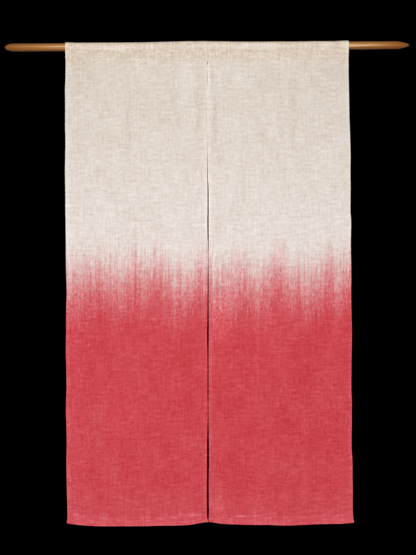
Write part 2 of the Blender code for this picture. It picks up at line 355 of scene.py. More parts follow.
class Socket:
    """A node's output that Python's operators work on. Each operator adds one node."""

    def __init__(self, graph: Graph, output: bpy.types.NodeSocket) -> None:
        """Wrap one output of a node of a graph."""
        self.graph = graph
        self.output = output

    @property
    def is_number(self) -> bool:
        """Whether the socket carries a number and not a colour or vector."""
        return self.output.type == "VALUE"

    def _operate(self, operation: str, *terms: Socket | float) -> Socket:
        """Add the maths node that a list of terms needs.

        Args:
            operation: The node's operation.
            *terms: Its inputs in their order.

        Returns:
            The node's result.
        """
        wrapped = [term for term in terms if isinstance(term, Socket)]
        if all(term.is_number for term in wrapped):
            return self.graph.add("ShaderNodeMath", {"operation": operation}, dict(enumerate(terms)))
        spread = [term if isinstance(term, Socket) else (term,) * 3 for term in terms]
        return self.graph.add("ShaderNodeVectorMath", {"operation": operation}, dict(enumerate(spread)))

    def __add__(self, other: Socket | float) -> Socket:
        """This plus another."""
        return self._operate("ADD", self, other)

    __radd__ = __add__

    def __sub__(self, other: Socket | float) -> Socket:
        """This minus another."""
        return self._operate("SUBTRACT", self, other)

    def __rsub__(self, other: float) -> Socket:
        """A number minus this."""
        return self._operate("SUBTRACT", other, self)

    def __mul__(self, other: Socket | float) -> Socket:
        """This times another."""
        return self._operate("MULTIPLY", self, other)

    __rmul__ = __mul__

    def __truediv__(self, other: Socket | float) -> Socket:
        """This divided by another."""
        return self._operate("DIVIDE", self, other)

    def __pow__(self, other: Socket | float) -> Socket:
        """This to the power of another."""
        return self._operate("POWER", self, other)

    def __abs__(self) -> Socket:
        """This without its sign."""
        return self._operate("ABSOLUTE", self)

    def sine(self) -> Socket:
        """The sine of this, in radians."""
        return self._operate("SINE", self)

    def most(self, other: Socket | float) -> Socket:
        """The larger of this and another."""
        return self._operate("MAXIMUM", self, other)

    def least(self, other: Socket | float) -> Socket:
        """The smaller of this and another."""
        return self._operate("MINIMUM", self, other)

    def eased(self, start: float, end: float) -> Socket:
        """Rises smoothly from 0 where this is start to 1 where it is end."""
        sockets = {"Value": self, "From Min": start, "From Max": end}
        return self.graph.add("ShaderNodeMapRange", {"interpolation_type": "SMOOTHSTEP"}, sockets)

    def band(self, start: float, full: float, until: float, end: float) -> Socket:
        """Rises from 0 at start to 1 at full, and falls from 1 at until to 0 at end."""
        return self.eased(start, full) * self.eased(end, until)


class Graph:
    """The node tree of one finish, around its Principled shader."""

    def __init__(self, name: str) -> None:
        """Start a material.

        Args:
            name: The material's name.
        """
        self.material = bpy.data.materials.new(name)
        self.material.use_nodes = True
        self.tree = self.material.node_tree
        self.shader = self.tree.nodes["Principled BSDF"]

    def add(self, kind: str, settings: dict, sockets: dict, output: int | str = 0) -> Socket:
        """Add a node.

        Args:
            kind: The node's type.
            settings: Its properties, set first. "stops" gives a ramp its places and colours.
            sockets: What each input holds or is linked to.
            output: Which output to return.

        Returns:
            That output.
        """
        node = self.tree.nodes.new(kind)
        for name, value in settings.items():
            if name == "stops":
                self._set_stops(node.color_ramp, value)
            else:
                setattr(node, name, value)
        for name, value in sockets.items():
            self.feed(node.inputs[name], value)
        return Socket(self, node.outputs[output])

    def _set_stops(self, ramp: bpy.types.ColorRamp, stops: list[tuple[float, tuple]]) -> None:
        """Give a ramp its stops, eased from one to the next.

        Args:
            ramp: The ramp, with fewer stops than it gets.
            stops: The place of each stop, from 0 to 1, and its colour.
        """
        ramp.interpolation = "EASE"
        while len(ramp.elements) < len(stops):
            ramp.elements.new(1.0)
        for element, (place, colour) in zip(ramp.elements, stops):
            element.position = place
            element.color = colour

    def feed(self, target: bpy.types.NodeSocket, value: Socket | float | tuple) -> None:
        """Link an input to a socket, or set it to a constant.

        Args:
            target: The input.
            value: What it gets.
        """
        if isinstance(value, Socket):
            self.tree.links.new(value.output, target)
        else:
            target.default_value = value

    def split(self, vector: Socket) -> tuple[Socket, Socket, Socket]:
        """The three numbers of a vector."""
        node = self.add("ShaderNodeSeparateXYZ", {}, {0: vector}).output.node
        return tuple(Socket(self, output) for output in node.outputs)

    def join(self, x: Socket | float, y: Socket | float, z: Socket | float = 0.0) -> Socket:
        """A vector of three numbers."""
        return self.add("ShaderNodeCombineXYZ", {}, {0: x, 1: y, 2: z})

    def solid_place(self) -> tuple[Socket, Socket, Socket]:
        """Places in the piece's own space, in metres along X, Y and Z."""
        return self.split(self.add("ShaderNodeTexCoord", {}, {}, "Object"))

    def noise(
        self,
        x: Socket | float,
        y: Socket | float,
        z: Socket | float = 0.0,
        *,
        detail: float = 1.0,
        roughness: float = 0.5,
    ) -> Socket:
        """Smooth noise about 0, mostly within half either way.

        Args:
            x: Where to read it, in cells that are about 1 wide.
            y: The same in the second direction.
            z: The same in the third direction.
            detail: How many finer layers it has.
            roughness: How strong they are.

        Returns:
            The noise.
        """
        place = self.join(x, y, z)
        sockets = {"Vector": place, "Scale": 1.0, "Detail": detail, "Roughness": roughness}
        return self.add("ShaderNodeTexNoise", {}, sockets) - 0.5

    def blend(self, share: Socket, first: Socket | tuple, second: Socket | tuple) -> Socket:
        """A colour that goes from the first to the second as the share goes from 0 to 1."""
        return self.add("ShaderNodeMix", {"data_type": "RGBA"}, {0: share, 6: first, 7: second}, 2)

    def bump(self, height: Socket, distance: float, strength: float) -> Socket:
        """A normal for relief. Distance is how many metres a height of 1 stands up."""
        return self.add("ShaderNodeBump", {}, {"Strength": strength, "Distance": distance, "Height": height})

    def finish(self, sockets: dict) -> bpy.types.Material:
        """Finish the material.

        Args:
            sockets: What each input of the shader holds or is linked to.

        Returns:
            The material.
        """
        for name, value in sockets.items():
            self.feed(self.shader.inputs[name], value)
        return self.material


# Finishes


@dataclass(frozen=True)
class Dye:
    """A red that linen takes up from a dip, half evenly and half one yarn more than the next."""

    full: tuple[float, float, float] = (0.788, 0.0792, 0.1114)
    begins_down: float = 0.612
    full_down: float = 0.905
    haze: float = 0.023
    haze_reach: float = 0.055

    def on(self, linen: Socket, amount: Socket) -> Socket:
        """Dye some linen.

        Args:
            linen: Its colour.
            amount: How much dye it takes up, from 0, none, to 1, the full dip.

        Returns:
            Its colour with the dye.
        """
        graph = linen.graph
        even = graph.join(*self.full) ** graph.join(amount, amount, amount)
        dyed_yarns = (1.0 - graph.split(even)[1]) * (1.0 / (1.0 - self.full[1]))
        patchy = graph.join(*(1.0 - dyed_yarns * (1.0 - share) for share in self.full))
        return linen * (even * 0.5 + patchy * 0.5)


@dataclass(frozen=True)
class FlatPlace:
    """A place on the flat cloth, in metres, and where its yarns would lie if they ran straight."""

    graph: Graph
    across: Socket
    up: Socket
    drawn_across: Socket
    drawn_up: Socket


@dataclass(frozen=True)
class Texture:
    """How the cloth differs from place to place.

    The weave's relief, pale wefts and worn places go from 0 to 1. The others vary about 0.
    """

    weave: Socket
    pale_wefts: Socket
    worn: Socket
    slubs: Socket
    blotch: Socket
    bands: Socket
    flecks: Socket
    patches: Socket


@dataclass(frozen=True)
class Marks:
    """Where the making and the use of the cloth show, and where light and shade are painted, each from 0 to
    1.
    """

    hem: Socket
    wicking: Socket
    pale_edge: Socket
    rubbed_edge: Socket
    painted_slit_shade: Socket
    groove_shade: Socket
    foot_stitch: Socket
    foot_fold: Socket
    near_foot: Socket
    heading: Socket
    # Painted light just above the sleeve's seam.
    above_seam: Socket
    crest: Socket
    painted_crest_shade: Socket


@dataclass(frozen=True)
class DyedLinen:
    """A slubby plain weave of undyed linen yarn, dipped in red to above its middle.

    It reads the panel's flat map, in metres, so the yarns follow the cloth over the rod. The
    bare numbers in its methods are how many cells of noise there are to the metre, how far a
    mark reaches, in metres, and how much each texture and mark counts.
    """

    side: Side
    bleed: Table
    pitch: float = 0.00115
    drawn_aside: float = 0.004
    foot_down: float = HEM_LOWEST * MM
    heading_linen: tuple = (0.662, 0.560, 0.467, 1.0)
    crest_linen: tuple = (0.680, 0.537, 0.408, 1.0)
    upper_linen: tuple = (0.640, 0.566, 0.494, 1.0)
    lower_linen: tuple = (0.739, 0.668, 0.620, 1.0)
    lower_to_upper: tuple[float, float] = (0.80, 1.42)
    green_depth: float = 1.33
    blue_depth: float = 1.80
    slit_closed: tuple[float, float, float, float] = (0.060, 0.125, 0.290, 0.460)
    slit_opens: tuple[float, float] = (0.262, 0.300)
    edge_fold: tuple[float, float] = (0.0046, 0.0012)
    patch_reach: float = 1.6
    most_rise: float = 0.060
    dye: Dye = Dye()

    def material(self, cut: PanelCut) -> bpy.types.Material:
        """Make the finish.

        Args:
            cut: The panel's sizes, for its hems and edges.

        Returns:
            The material.
        """
        graph = Graph(f"dyed_linen_{self.side.value}")
        across, up, _ = graph.split(graph.add("ShaderNodeUVMap", {"uv_map": FLAT_MAP}, {}))
        drawn_across = across + graph.noise(across * 9, up * 2.5) * self.drawn_aside
        drawn_up = up + graph.noise(across * 2.5 + 7, up * 9) * self.drawn_aside
        at = FlatPlace(graph, across, up, drawn_across, drawn_up)
        texture = self._texture(at)
        marks = self._marks(at, texture, cut)
        dipped = self._dipped(at, texture, marks)
        amount = (dipped * (1.0 - self._rubbed(dipped, texture, marks))).most(0.0)
        linen = self._linen(at, marks) * self._tint(at, amount, texture, marks)
        return graph.finish(
            {
                "Base Color": self.dye.on(linen, amount),
                "Roughness": 0.90 - texture.slubs * 0.08,
                "Normal": graph.bump(texture.weave + texture.slubs * 1.6, 0.00022, 0.75),
                "Specular IOR Level": 0.22,
                "Sheen Weight": 0.06,
                "Sheen Roughness": 0.5,
            }
        )

    def _texture(self, at: FlatPlace) -> Texture:
        """Weave the yarns, and spread the unevenness of the cloth over them.

        Args:
            at: A place on the flat cloth.

        Returns:
            The cloth's texture there.
        """
        noise, across, up = at.graph.noise, at.across, at.up
        warp = (at.drawn_across * (math.pi / self.pitch)).sine()
        weft = (at.drawn_up * (math.pi / self.pitch)).sine()
        over = warp * weft
        weft_slubs = noise(at.drawn_across * 30, at.drawn_up * 128 + 3, detail=1.5)
        warp_slubs = noise(at.drawn_across * 190 + 11, at.drawn_up * 17)
        knots = noise(at.drawn_across * 118, at.drawn_up * 108, detail=2.0, roughness=0.6)
        flecks = noise(at.drawn_across * 235, at.drawn_up * 105 + 9, roughness=0.6)
        return Texture(
            weave=(abs(warp) + over).most(abs(weft) - over) * 0.5,
            pale_wefts=noise(at.drawn_across * 16 + 5, at.drawn_up * 430, detail=0.0).eased(0.20, 0.34),
            worn=noise(across * 28, up * 150, detail=2.0).eased(-0.02, 0.20),
            slubs=weft_slubs * 0.92 + warp_slubs * 0.78 + knots * 1.10,
            blotch=noise(across * 14, up * 9, detail=2.0),
            bands=noise(across * 32 + 3, up * 2.6) + noise(across * 5, up * 44 + 9) * 0.80,
            flecks=flecks,
            # Painted light and shade of the folds, with a few worn places, mottled by the flecks.
            patches=self._patches(at) * (flecks * 2.6 + 1.0),
        )

    def _patches(self, at: FlatPlace) -> Socket:
        """How much lighter the cloth is at its patches and streaks, mostly painted light and shade of its
        folds.

        Args:
            at: A place on the flat cloth.

        Returns:
            The sum of the patches there. Minus is darker.
        """
        total = at.across * 0.0
        for patch in PAINTED_SHADING_AND_WEAR[self.side]:
            aside = (at.across - (MAP_SHIFT + patch.across * MM)) / (patch.half_across * MM)
            along = (at.up - (self.foot_down - patch.down * MM)) / (patch.half_down * MM)
            total = total + (aside * aside + along * along).eased(self.patch_reach, 0.0) * patch.lighter
        return total

    def _marks(self, at: FlatPlace, texture: Texture, cut: PanelCut) -> Marks:
        """Find where hems, seams and folded edges show, and where light and shade are painted.

        Args:
            at: A place on the flat cloth.
            texture: The cloth's texture there.
            cut: The panel's sizes.

        Returns:
            The marks there.
        """
        outer, slit = cut.flat_edges(self.side)
        from_outer, from_slit = abs(at.across - outer), abs(at.across - slit)
        from_edge = from_outer.least(from_slit)
        up, down = at.up, self.foot_down - at.up
        seam, stitch = cut.body_length, cut.foot_stitch
        side_hem = from_edge.eased(cut.side_hem + 0.0006, cut.side_hem - 0.0006)
        foot_hem = up.eased(cut.foot_hem + 0.0008, cut.foot_hem - 0.0008)
        in_closed_slit = down.band(*self.slit_closed) * from_slit.eased(0.010, 0.004)
        from_open_edge = from_edge.most(in_closed_slit * 0.010)
        from_crest = abs(up - cut.crest_up)
        return Marks(
            hem=side_hem.most(foot_hem),
            wicking=from_edge.eased(0.0085, 0.0),
            pale_edge=from_open_edge.least(up).eased(*self.edge_fold),
            rubbed_edge=from_outer.least(up).eased(*self.edge_fold),
            # Painted shade, browner, along the slit's edges below where it stands open.
            painted_slit_shade=from_slit.eased(0.0018, 0.0006) * down.eased(*self.slit_opens),
            # Painted shade of a groove along the side hems, 3 to 8 mm in from the edges.
            groove_shade=from_edge.band(0.0030, 0.0052, 0.0056, 0.0078),
            foot_stitch=up.band(stitch - 0.0040, stitch - 0.0006, stitch + 0.0004, stitch + 0.0032),
            foot_fold=up.eased(0.024, 0.008),
            near_foot=up.eased(0.130, 0.050),
            heading=(up + texture.blotch * 0.045).eased(seam - 0.008, seam + 0.009),
            # Painted light on the sleeve's front, just above its seam, softening the shade step there.
            above_seam=up.band(seam - 0.002, seam + 0.001, seam + 0.002, seam + 0.020),
            crest=from_crest.eased(0.0155, 0.0085),
            # Painted shade on the cloth over the rod's crest, fading out 12 to 22 mm away.
            painted_crest_shade=from_crest.eased(0.022, 0.012),
        )

    def _dipped(self, at: FlatPlace, texture: Texture, marks: Marks) -> Socket:
        """How much dye the cloth took up, with a bleed line that differs from yarn to yarn.

        Args:
            at: A place on the flat cloth.
            texture: The cloth's texture there.
            marks: The marks there. The dye climbs higher on the fold of a hem.

        Returns:
            The amount, 1 for the full dip.
        """
        first = self.bleed[0][0]
        span = self.bleed[-1][0] - first
        stops = []
        for place, rise in self.bleed:
            level = 0.5 + 0.5 * rise * MM / self.most_rise
            stops.append(((place - first) / span, (level, level, level, 1.0)))
        noise, across = at.graph.noise, at.drawn_across
        share = (across - MAP_SHIFT - first * MM) / (span * MM)
        placed = at.graph.split(at.graph.add("ShaderNodeValToRGB", {"stops": stops}, {0: share}))[0]
        placed = (placed - 0.5) * (2.0 * self.most_rise)
        bundles = noise(across * 88, at.up * 2.6 + 5, detail=2.0) * 0.080
        yarns = noise(across * 176, at.up * 3.4, detail=0.6) * 0.084
        ragged = noise(across * 205 + 17, at.up * 30, detail=1.6, roughness=0.60) * 0.114
        rise = placed + bundles + yarns + ragged - texture.slubs * 0.014 + marks.wicking * 0.018
        down = self.foot_down - at.up + rise
        dye = self.dye
        haze = down.eased(dye.begins_down - dye.haze_reach, dye.begins_down + dye.haze_reach)
        return haze * dye.haze + down.eased(dye.begins_down, dye.full_down) * (1.0 - dye.haze)

    def _rubbed(self, dipped: Socket, texture: Texture, marks: Marks) -> Socket:
        """How much of the dye has come off again, or never took.

        Args:
            dipped: How much dye the cloth took up.
            texture: The cloth's texture there.
            marks: The marks there.

        Returns:
            The share of the dye. Minus is where more took.
        """
        in_bleed = dipped.band(0.0, 0.22, 0.70, 1.0)
        off_yarns = texture.slubs * (0.29 - in_bleed * 0.17)
        off_yarns = off_yarns + texture.pale_wefts * (0.22 - in_bleed * 0.16)
        off_cloth = texture.flecks * in_bleed * 1.15 + texture.blotch * 0.24
        # The patches' painted light and shade thin or deepen the dye as well.
        off_cloth = off_cloth + texture.bands * 0.11 + texture.patches * 0.9
        off_hems = marks.hem * 0.03 + marks.rubbed_edge * 0.07 + marks.near_foot * 0.06
        off_hems = off_hems + texture.worn * (marks.hem + marks.foot_stitch) * 0.17
        return off_yarns + off_cloth + off_hems

    def _linen(self, at: FlatPlace, marks: Marks) -> Socket:
        """The linen's own colour, yellower where it is double at the heading and on the rod.

        Args:
            at: A place on the flat cloth.
            marks: The marks there.

        Returns:
            The colour.
        """
        linen = at.graph.blend(at.up.eased(*self.lower_to_upper), self.lower_linen, self.upper_linen)
        linen = at.graph.blend(marks.heading, linen, self.heading_linen)
        return at.graph.blend(marks.crest * 0.8, linen, self.crest_linen)

    def _tint(self, at: FlatPlace, amount: Socket, texture: Texture, marks: Marks) -> Socket:
        """How light the linen is, with its painted light and shade, and its hue where it is deeper or
        browned by the painted shade of the slit.

        Args:
            at: A place on the flat cloth.
            amount: How much dye is on it. The full dip evens it out.
            texture: The cloth's texture there.
            marks: The marks there.

        Returns:
            What the linen's colour is to be multiplied by.
        """
        tone = texture.slubs * (marks.heading * 0.13 - amount * 0.022 + 0.253)
        tone = tone + texture.pale_wefts * 0.04 + texture.weave * 0.08 + texture.bands * 0.045
        # The patches add painted light and shade of the folds.
        tone = tone + texture.blotch * (0.112 - amount * 0.060) + texture.patches
        # Double hems are lighter; a line of painted shade runs inside the side hems.
        tone = tone + (marks.hem - marks.groove_shade) * 0.045 + marks.near_foot * 0.015
        # Painted light above the sleeve's seam, and painted shade over the rod's crest.
        tone = tone + (marks.above_seam - marks.painted_crest_shade) * 0.028
        tone = tone + texture.worn * marks.foot_stitch * 0.08 + marks.foot_fold * 0.025 + 0.955
        depth = at.graph.join(tone, tone**self.green_depth, tone**self.blue_depth)
        red = marks.pale_edge * 0.17 + 1.0
        # The slit's edges are darkened and browned with painted shade.
        green = marks.pale_edge * 0.15 - marks.painted_slit_shade * 0.18 + 1.0
        blue = marks.pale_edge * 0.12 - marks.painted_slit_shade * 0.28 + 1.0
        return depth * at.graph.join(red, green, blue)


@dataclass(frozen=True)
class HoneyWood:
    """A turned softwood rod, oiled and worn to a honey brown, redder and darker at its ends."""

    half_length: float
    # Paler wood near the cloth; as a line along the rod's front it is a painted highlight.
    worn: tuple = (0.80, 0.610, 0.365, 1.0)
    light: tuple = (0.465, 0.198, 0.038, 1.0)
    dark: tuple = (0.285, 0.095, 0.013, 1.0)
    tip: tuple = (0.205, 0.062, 0.014, 1.0)
    # Painted shade for the rod's top and underside.
    painted_shade: tuple = (0.130, 0.045, 0.010, 1.0)
    end_grain: tuple = (0.060, 0.026, 0.010, 1.0)

    def material(self) -> bpy.types.Material:
        """Make the finish.

        Returns:
            The material.
        """
        graph = Graph("honey_wood")
        along, depth, height = graph.solid_place()
        swirl = graph.noise(along * 3.5, depth * 30, height * 30, detail=2.0)
        rings = ((depth * 1.3 + height + swirl * 0.012) * 1400).sine()
        fibres = graph.noise(along * 14, depth * 900, height * 900, detail=3.0, roughness=0.6)
        pores = graph.noise(along * 60, depth * 2400, height * 2400).eased(0.12, 0.28)
        grain = (rings * 0.22 + fibres * 1.1 + 0.5).eased(0.0, 1.0)

        from_end = self.half_length - abs(along)
        by_cloth = abs(along - 0.022).eased(0.560, 0.440)
        # A painted highlight: a pale line along the rod's front, just below its axis, near the cloth.
        painted_highlight_line = abs(height + 0.0018).eased(0.0056, 0.0010) * 0.9 + 0.1
        # Painted shade on the rod's top and on its underside.
        above = height.eased(0.0025, 0.0110)
        below = height.eased(-0.0045, -0.0115)
        at_tip = from_end.eased(0.135, 0.010)
        at_end = from_end.eased(0.0065, 0.0010)

        # The paler wood near the cloth, strongest on the painted highlight line.
        light = graph.blend(by_cloth * painted_highlight_line, self.light, self.worn)
        colour = graph.blend(grain, self.dark, light)
        colour = graph.blend(at_tip * 0.72, colour, self.tip)
        colour = graph.blend(pores * 0.45, colour, self.dark)
        colour = graph.blend(at_end * 0.85, colour, self.end_grain)
        colour = graph.blend(above * 0.52 + below * 0.48, colour, self.painted_shade)
        relief = fibres * 0.5 - pores * 0.4
        return graph.finish(
            {
                "Base Color": colour,
                "Roughness": fibres * 0.16 + pores * 0.12 + at_end * 0.5 - by_cloth * 0.09 + 0.36,
                "Normal": graph.bump(relief, 0.00025, 0.6),
                "Specular IOR Level": 0.20,
                "Specular Tint": (1.0, 0.93, 0.72, 1.0),
            }
        )


@dataclass(frozen=True)
class SewingThread:
    """Twisted sewing thread, dipped with the cloth that it was sewn to."""

    name: str
    colour: tuple[float, float, float] = (0.74, 0.655, 0.575)
    dye: Dye = Dye(full=(0.83, 0.15, 0.19))
    twist: float = 0.0009

    def material(self) -> bpy.types.Material:
        """Make the finish.

        Returns:
            The material.
        """
        graph = Graph(self.name)
        across, depth, height = graph.solid_place()
        uneven = graph.noise(across * 300, depth * 300, height * 300)
        plies = ((across + height + depth) * (2 * math.pi / self.twist)).sine()
        thread = graph.join(*self.colour) * (plies * 0.10 + uneven * 0.30 + 1.0)
        amount = (uneven * 0.05 - height).eased(self.dye.begins_down, self.dye.full_down)
        return graph.finish(
            {
                "Base Color": self.dye.on(thread, amount),
                "Roughness": 0.72 + uneven * 0.1,
                "Normal": graph.bump(plies, 0.00008, 0.6),
                "Specular IOR Level": 0.3,
            }
        )


@dataclass(frozen=True)
class PaleFloor:
    """The plain floor of a studio."""

    colour: tuple[float, float, float] = (0.66, 0.65, 0.63)

    def material(self) -> bpy.types.Material:
        """Make the finish.

        Returns:
            The material.
        """
        graph = Graph("pale_floor")
        across, depth, height = graph.solid_place()
        cloudy = graph.noise(across * 2, depth * 2, height * 2, detail=3.0)
        speckle = graph.noise(across * 90, depth * 90, height * 90, detail=2.0)
        colour = graph.join(*self.colour) * (cloudy * 0.03 + speckle * 0.02 + 1.0)
        relief = graph.bump(speckle, 0.0004, 0.3)
        return graph.finish({"Base Color": colour, "Roughness": 0.8, "Normal": relief})


# The cloth


@dataclass(frozen=True)
class PanelCut:
    """The sizes that one panel is cut, hemmed and sewn to, in metres."""

    flat_size: tuple[float, float] = (0.480, 1.620)
    width: float = 0.4400
    cloth: float = 0.0008
    hem: float = 0.0022
    side_hem: float = 0.0108
    foot_hem: float = 0.0290
    end_hem: float = 0.0080
    step: float = 0.0009
    seam_down: float = 0.0460
    sleeve_end_down: float = 0.0500
    rod_radius: float = 0.0120
    rod_clearance: float = 0.00025
    layer_gap: float = 0.00006
    hem_swell: float = 0.0014
    swell_fades: float = 0.034
    side_stitch: float = 0.0093
    foot_stitch: float = 0.0268
    end_stitch: float = 0.0040
    stitch_dent: float = 0.00022
    dent_reach: tuple[float, float, float] = (0.0010, 0.0011, 0.0013)
    nose_depth: float = 0.90
    most_pinch: float = 0.95
    outer_edge: float = 0.4425

    @property
    def body_length(self) -> float:
        """How far up the cloth the sleeve's seam lies."""
        return HEM_LOWEST * MM - self.seam_down

    @property
    def sleeve_radius(self) -> float:
        """The outer radius of the sleeve on the rod."""
        return self.rod_radius + self.rod_clearance + self.cloth

    @property
    def front_length(self) -> float:
        """The cloth's length from the seam to the rod."""
        return math.sqrt(self.seam_down**2 - self.sleeve_radius**2)

    @property
    def over_length(self) -> float:
        """The cloth's length on the rod."""
        return self.sleeve_radius * (math.pi + 2 * math.asin(self.sleeve_radius / self.seam_down))

    @property
    def crest_up(self) -> float:
        """How far up the cloth the top of the sleeve lies."""
        return self.body_length + self.front_length + 0.5 * self.over_length

    @property
    def back_length(self) -> float:
        """The cloth's length from the rod to the sleeve's end."""
        return math.sqrt(self.sleeve_end_down**2 - self.sleeve_radius**2)

    @property
    def whole_length(self) -> float:
        """The cloth's length from its foot fold to the sleeve's end."""
        return self.body_length + self.front_length + self.over_length + self.back_length

    def from_side(self, share: Points) -> Points:
        """How far places across the panel are from the nearer side edge."""
        return np.minimum(share, 1.0 - share) * self.width

    def turned(self, distance: Points, hem: float) -> Points:
        """1 on a hem of that depth and 0 past it, with the step of its turned edge between."""
        return 1.0 - ease(distance, hem - 0.5 * self.step, hem + 0.5 * self.step)

    def flat_edges(self, side: Side) -> tuple[float, float]:
        """Where a panel's edges lie on the flat map.

        Args:
            side: Which panel.

        Returns:
            Its outer edge and its slit edge.
        """
        sign = -1.0 if side is Side.LEFT else 1.0
        outer = sign * self.outer_edge + MAP_SHIFT
        return outer, outer - sign * self.width


@dataclass(frozen=True)
class Rumple:
    """Small unevenness all over the cloth, as the sum of slow waves in all directions."""

    seed: int = 23
    waves: int = 18
    shortest: float = 24.0
    longest: float = 105.0
    height: float = 0.55

    def at(self, across: Points, down: Points) -> Points:
        """How far the cloth stands forward, in millimetres.

        Args:
            across: Places across the curtain, in millimetres.
            down: Places below the rod's axis, in millimetres.

        Returns:
            One depth for each place.
        """
        chance = np.random.default_rng(self.seed)
        total = np.zeros_like(across)
        for _ in range(self.waves):
            length = chance.uniform(self.shortest, self.longest)
            heading = chance.uniform(0.0, math.pi)
            turn = 2 * math.pi / length
            phase = turn * (across * math.cos(heading) + down * math.sin(heading))
            total += np.sin(phase + chance.uniform(0.0, 2 * math.pi)) * length / self.longest
        return self.height * total / math.sqrt(self.waves)


